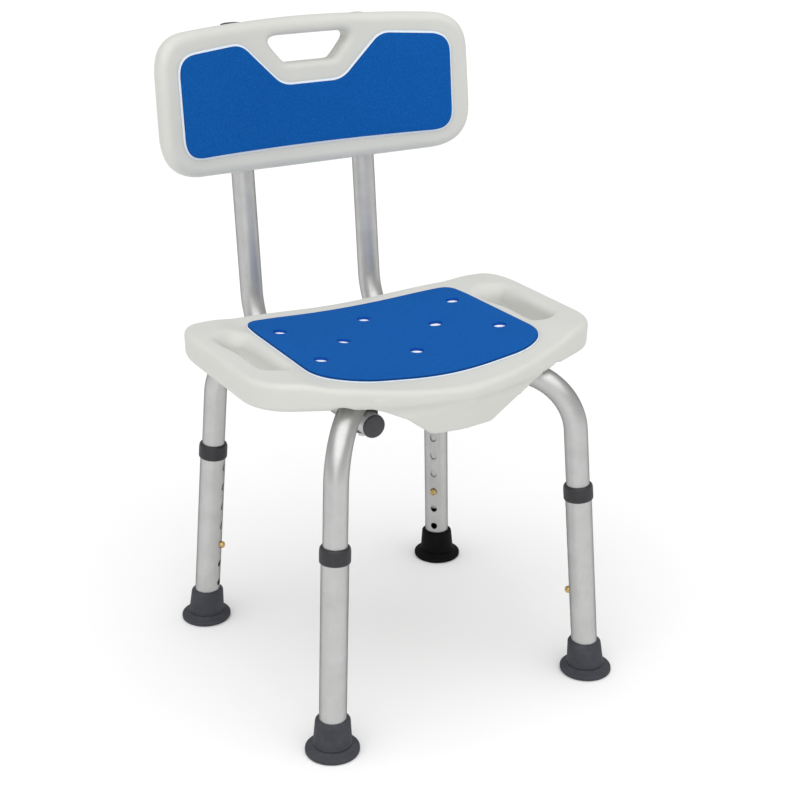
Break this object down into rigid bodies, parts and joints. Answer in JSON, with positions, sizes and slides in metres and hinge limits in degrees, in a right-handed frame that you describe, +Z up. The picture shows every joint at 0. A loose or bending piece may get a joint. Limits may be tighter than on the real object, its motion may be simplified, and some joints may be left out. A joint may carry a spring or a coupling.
{
  "type": "shower chair",
  "caption": "Shower chair with a dished moulded seat, curved backrest, blue foam pads and telescoping aluminium legs held by snap buttons.",
  "frame": {"origin": "on the floor, under the middle of the bounding box with the legs at the height shown", "axes": "+Z up, +Y towards the backrest, +X to the sitter's left seen from the front as right; the front of the seat faces -Y"},
  "size_m": [0.408, 0.4164, 0.6865],
  "materials": {
    "moulded_shell": "satin, finely textured blow-moulded polyethylene, warm off-white",
    "foam_pad": "matt closed-cell foam, fine grain, blue",
    "anodised_tube": "satin anodised",
    "grey_plastic": "matt dark grey moulded plastic",
    "rubber_foot": "matt dark grey rubber",
    "dark_rubber_foot": "matt near-black rubber",
    "brass": "polished",
    "steel_fastener": "zinc plated"
  },
  "bodies": {
    "frame": {"seat_shell": "moulded_shell", "seat_pad": "foam_pad", "leg_frame_rl_fr": "anodised_tube", "leg_frame_rr_fl": "anodised_tube", "back_tube_left": "anodised_tube", "back_tube_right": "anodised_tube", "front_plug_left": "grey_plastic", "front_plug_right": "grey_plastic", "top_cap_left": "grey_plastic", "top_cap_right": "grey_plastic", "backrest_shell": "moulded_shell", "back_pad": "foam_pad", "saddle_fl": "grey_plastic", "saddle_fr": "grey_plastic", "saddle_rl": "grey_plastic", "saddle_rr": "grey_plastic", "seat_bolt_fl": "steel_fastener", "seat_bolt_fr": "steel_fastener", "seat_bolt_rl": "steel_fastener", "seat_bolt_rr": "steel_fastener", "seat_bolt_centre": "steel_fastener", "seat_insert_fl": "brass", "seat_insert_fr": "brass", "seat_insert_rl": "brass", "seat_insert_rr": "brass", "seat_insert_centre": "brass", "back_screw_left_lower": "steel_fastener", "back_screw_left_upper": "steel_fastener", "back_screw_right_lower": "steel_fastener", "back_screw_right_upper": "steel_fastener", "snap_spring_fl": "steel_fastener", "snap_spring_fr": "steel_fastener", "snap_spring_rl": "steel_fastener", "snap_spring_rr": "steel_fastener"},
    "leg_fl": {"leg_tube_fl": "anodised_tube", "collar_fl": "grey_plastic", "foot_fl": "rubber_foot"},
    "button_fl": {"snap_button_fl": "brass"},
    "leg_fr": {"leg_tube_fr": "anodised_tube", "collar_fr": "grey_plastic", "foot_fr": "rubber_foot"},
    "button_fr": {"snap_button_fr": "brass"},
    "leg_rl": {"leg_tube_rl": "anodised_tube", "collar_rl": "grey_plastic", "foot_rl": "rubber_foot"},
    "button_rl": {"snap_button_rl": "brass"},
    "leg_rr": {"leg_tube_rr": "anodised_tube", "collar_rr": "grey_plastic", "foot_rr": "dark_rubber_foot"},
    "button_rr": {"snap_button_rr": "brass"}
  },
  "joints": [
    {"name": "leg_fl_height", "type": "slide", "parent": "frame", "child": "leg_fl", "axis": [-0.0577, -0.0577, -0.9967], "range_m": [-0.05, 0.1]},
    {"name": "button_fl_press", "type": "slide", "parent": "frame", "child": "button_fl", "axis": [-0.7047, -0.7047, 0.0816], "range_m": [0, 0.0055], "stiffness_N_per_m": 1500, "springref_m": -0.003, "deforming": ["snap_spring_fl"]},
    {"name": "leg_fr_height", "type": "slide", "parent": "frame", "child": "leg_fr", "axis": [0.0577, -0.0577, -0.9967], "range_m": [-0.05, 0.1]},
    {"name": "button_fr_press", "type": "slide", "parent": "frame", "child": "button_fr", "axis": [0.7047, -0.7047, 0.0816], "range_m": [0, 0.0055], "stiffness_N_per_m": 1500, "springref_m": -0.003, "deforming": ["snap_spring_fr"]},
    {"name": "leg_rl_height", "type": "slide", "parent": "frame", "child": "leg_rl", "axis": [-0.0577, 0.0577, -0.9967], "range_m": [-0.05, 0.1]},
    {"name": "button_rl_press", "type": "slide", "parent": "frame", "child": "button_rl", "axis": [-0.7047, 0.7047, 0.0816], "range_m": [0, 0.0055], "stiffness_N_per_m": 1500, "springref_m": -0.003, "deforming": ["snap_spring_rl"]},
    {"name": "leg_rr_height", "type": "slide", "parent": "frame", "child": "leg_rr", "axis": [0.0577, 0.0577, -0.9967], "range_m": [-0.05, 0.1]},
    {"name": "button_rr_press", "type": "slide", "parent": "frame", "child": "button_rr", "axis": [0.7047, 0.7047, 0.0816], "range_m": [0, 0.0055], "stiffness_N_per_m": 1500, "springref_m": -0.003, "deforming": ["snap_spring_rr"]}
  ]
}
